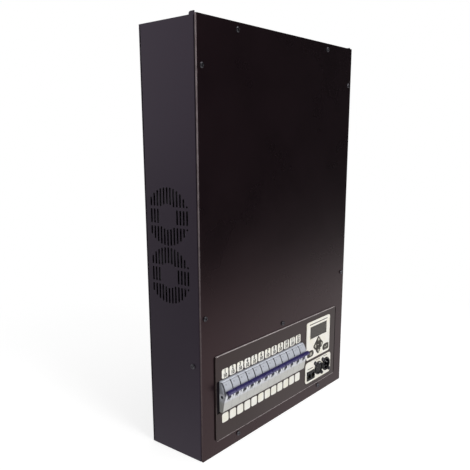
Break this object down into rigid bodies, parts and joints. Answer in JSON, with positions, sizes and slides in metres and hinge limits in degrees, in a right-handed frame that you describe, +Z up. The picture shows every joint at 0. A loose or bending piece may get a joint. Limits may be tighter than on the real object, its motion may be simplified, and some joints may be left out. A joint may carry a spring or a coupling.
{
  "type": "dimmer pack",
  "caption": "Wall-mounted dimmer pack: flat folded-steel case with a row of toggle breakers, a display with keys, control sockets and fan grilles in its side.",
  "frame": {"origin": "centre of the case's underside (the flat foot that the case stands on)", "axes": "+Z up, the front cover faces -Y and the wall side +Y, +X to the right of someone who faces the front"},
  "size_m": [0.3974, 0.1211, 0.6025],
  "materials": {
    "case_paint": "fine-textured satin powder coat, charcoal",
    "cover_paint": "fine-textured satin powder coat, charcoal",
    "fascia_paint": "fine-textured satin powder coat, charcoal",
    "zinc_plate": "zinc plated",
    "black_screw": "black oxide, slightly glossy",
    "label_film": "printed ivory film",
    "ivory_plate": "printed ivory, satin",
    "clear_window": "tinted clear acrylic",
    "display_body": "grey-green glass in a dark frame",
    "key_grey": "soft-touch grey",
    "circuit_board": "green solder mask",
    "black_plastic": "moulded black, fine grain",
    "breaker_grey": "moulded light grey, fine grain",
    "toggle_blue": "moulded dark blue",
    "fan_plastic": "moulded black",
    "bare_aluminium": "extruded, as drawn",
    "module_plastic": "moulded, dark grey",
    "choke_winding": "varnished copper winding on an iron-powder core",
    "nylon": "natural nylon",
    "laminated_iron": "varnished laminations",
    "terminal_plastic": "moulded grey",
    "brass_bar": "milled",
    "ribbon_grey": "ribbed grey ribbon"
  },
  "bodies": {
    "case": {"rear_panel": "case_paint", "left_side_panel": "case_paint", "right_side_panel": "case_paint", "top_panel": "case_paint", "bottom_panel": "case_paint", "cross_rail": "zinc_plate", "front_cover": "cover_paint", "case_screws": "black_screw", "control_fascia": "fascia_paint", "upper_channel_labels": "label_film", "lower_channel_labels": "label_film", "display_plate": "ivory_plate", "display_window": "clear_window", "display_module": "display_body", "control_board": "circuit_board", "key_switches": "black_plastic", "socket_plate": "ivory_plate", "data_jack": "black_plastic", "input_socket": "black_plastic", "through_socket": "black_plastic", "socket_screws": "black_screw", "din_rail": "zinc_plate", "rail_brackets": "zinc_plate", "breaker_housings": "breaker_grey", "row_blank": "black_plastic", "upper_fan_frame": "black_plastic", "lower_fan_frame": "black_plastic", "heat_sink": "bare_aluminium", "power_modules": "module_plastic", "chokes": "choke_winding", "choke_bolts": "zinc_plate", "driver_board": "circuit_board", "nylon_posts": "nylon", "control_transformer": "laminated_iron", "supply_terminals": "terminal_plastic", "output_terminals": "terminal_plastic", "neutral_bar": "brass_bar", "earth_bar": "brass_bar", "ribbon_cable": "ribbon_grey"},
    "toggle_1": {"toggle_1": "toggle_blue"},
    "toggle_2": {"toggle_2": "toggle_blue"},
    "toggle_3": {"toggle_3": "toggle_blue"},
    "toggle_4": {"toggle_4": "toggle_blue"},
    "toggle_5": {"toggle_5": "toggle_blue"},
    "toggle_6": {"toggle_6": "toggle_blue"},
    "toggle_7": {"toggle_7": "toggle_blue"},
    "toggle_8": {"toggle_8": "toggle_blue"},
    "toggle_9": {"toggle_9": "toggle_blue"},
    "toggle_10": {"toggle_10": "toggle_blue"},
    "toggle_11": {"toggle_11": "toggle_blue"},
    "toggle_12": {"toggle_12": "toggle_blue"},
    "key_up": {"key_up": "key_grey"},
    "key_down": {"key_down": "key_grey"},
    "key_left": {"key_left": "key_grey"},
    "key_right": {"key_right": "key_grey"},
    "key_menu": {"key_menu": "key_grey"},
    "key_enter": {"key_enter": "key_grey"},
    "upper_fan_rotor": {"upper_fan_rotor": "fan_plastic"},
    "lower_fan_rotor": {"lower_fan_rotor": "fan_plastic"},
    "through_latch": {"through_latch": "black_plastic"}
  },
  "joints": [
    {"name": "toggle_1_swing", "type": "hinge", "parent": "case", "child": "toggle_1", "pos_m": [-0.1513, -0.0563, 0.0888], "axis": [1, 0, 0], "range_deg": [0, 76]},
    {"name": "toggle_2_swing", "type": "hinge", "parent": "case", "child": "toggle_2", "pos_m": [-0.1333, -0.0563, 0.0888], "axis": [1, 0, 0], "range_deg": [0, 76]},
    {"name": "toggle_3_swing", "type": "hinge", "parent": "case", "child": "toggle_3", "pos_m": [-0.1153, -0.0563, 0.0888], "axis": [1, 0, 0], "range_deg": [0, 76]},
    {"name": "toggle_4_swing", "type": "hinge", "parent": "case", "child": "toggle_4", "pos_m": [-0.0973, -0.0563, 0.0888], "axis": [1, 0, 0], "range_deg": [0, 76]},
    {"name": "toggle_5_swing", "type": "hinge", "parent": "case", "child": "toggle_5", "pos_m": [-0.0793, -0.0563, 0.0888], "axis": [1, 0, 0], "range_deg": [0, 76]},
    {"name": "toggle_6_swing", "type": "hinge", "parent": "case", "child": "toggle_6", "pos_m": [-0.0613, -0.0563, 0.0888], "axis": [1, 0, 0], "range_deg": [0, 76]},
    {"name": "toggle_7_swing", "type": "hinge", "parent": "case", "child": "toggle_7", "pos_m": [-0.0433, -0.0563, 0.0888], "axis": [1, 0, 0], "range_deg": [0, 76]},
    {"name": "toggle_8_swing", "type": "hinge", "parent": "case", "child": "toggle_8", "pos_m": [-0.0253, -0.0563, 0.0888], "axis": [1, 0, 0], "range_deg": [0, 76]},
    {"name": "toggle_9_swing", "type": "hinge", "parent": "case", "child": "toggle_9", "pos_m": [-0.0073, -0.0563, 0.0888], "axis": [1, 0, 0], "range_deg": [0, 76]},
    {"name": "toggle_10_swing", "type": "hinge", "parent": "case", "child": "toggle_10", "pos_m": [0.0107, -0.0563, 0.0888], "axis": [1, 0, 0], "range_deg": [0, 76]},
    {"name": "toggle_11_swing", "type": "hinge", "parent": "case", "child": "toggle_11", "pos_m": [0.0287, -0.0563, 0.0888], "axis": [1, 0, 0], "range_deg": [0, 76]},
    {"name": "toggle_12_swing", "type": "hinge", "parent": "case", "child": "toggle_12", "pos_m": [0.0467, -0.0563, 0.0888], "axis": [1, 0, 0], "range_deg": [0, 76]},
    {"name": "key_up_press", "type": "slide", "parent": "case", "child": "key_up", "axis": [0, 1, 0], "range_m": [0, 0.0007], "stiffness_N_per_m": 800, "springref_m": -0.0005},
    {"name": "key_down_press", "type": "slide", "parent": "case", "child": "key_down", "axis": [0, 1, 0], "range_m": [0, 0.0007], "stiffness_N_per_m": 800, "springref_m": -0.0005},
    {"name": "key_left_press", "type": "slide", "parent": "case", "child": "key_left", "axis": [0, 1, 0], "range_m": [0, 0.0007], "stiffness_N_per_m": 800, "springref_m": -0.0005},
    {"name": "key_right_press", "type": "slide", "parent": "case", "child": "key_right", "axis": [0, 1, 0], "range_m": [0, 0.0007], "stiffness_N_per_m": 800, "springref_m": -0.0005},
    {"name": "key_menu_press", "type": "slide", "parent": "case", "child": "key_menu", "axis": [0, 1, 0], "range_m": [0, 0.0007], "stiffness_N_per_m": 800, "springref_m": -0.0005},
    {"name": "key_enter_press", "type": "slide", "parent": "case", "child": "key_enter", "axis": [0, 1, 0], "range_m": [0, 0.0007], "stiffness_N_per_m": 800, "springref_m": -0.0005},
    {"name": "upper_fan_spin", "type": "hinge", "parent": "case", "child": "upper_fan_rotor", "pos_m": [-0.18, 0.0075, 0.348], "axis": [1, 0, 0], "continuous": true},
    {"name": "lower_fan_spin", "type": "hinge", "parent": "case", "child": "lower_fan_rotor", "pos_m": [-0.18, 0.0075, 0.266], "axis": [1, 0, 0], "continuous": true},
    {"name": "through_latch_press", "type": "slide", "parent": "case", "child": "through_latch", "axis": [0, 1, 0], "range_m": [0, 0.0012], "stiffness_N_per_m": 600, "springref_m": -0.0005}
  ]
}
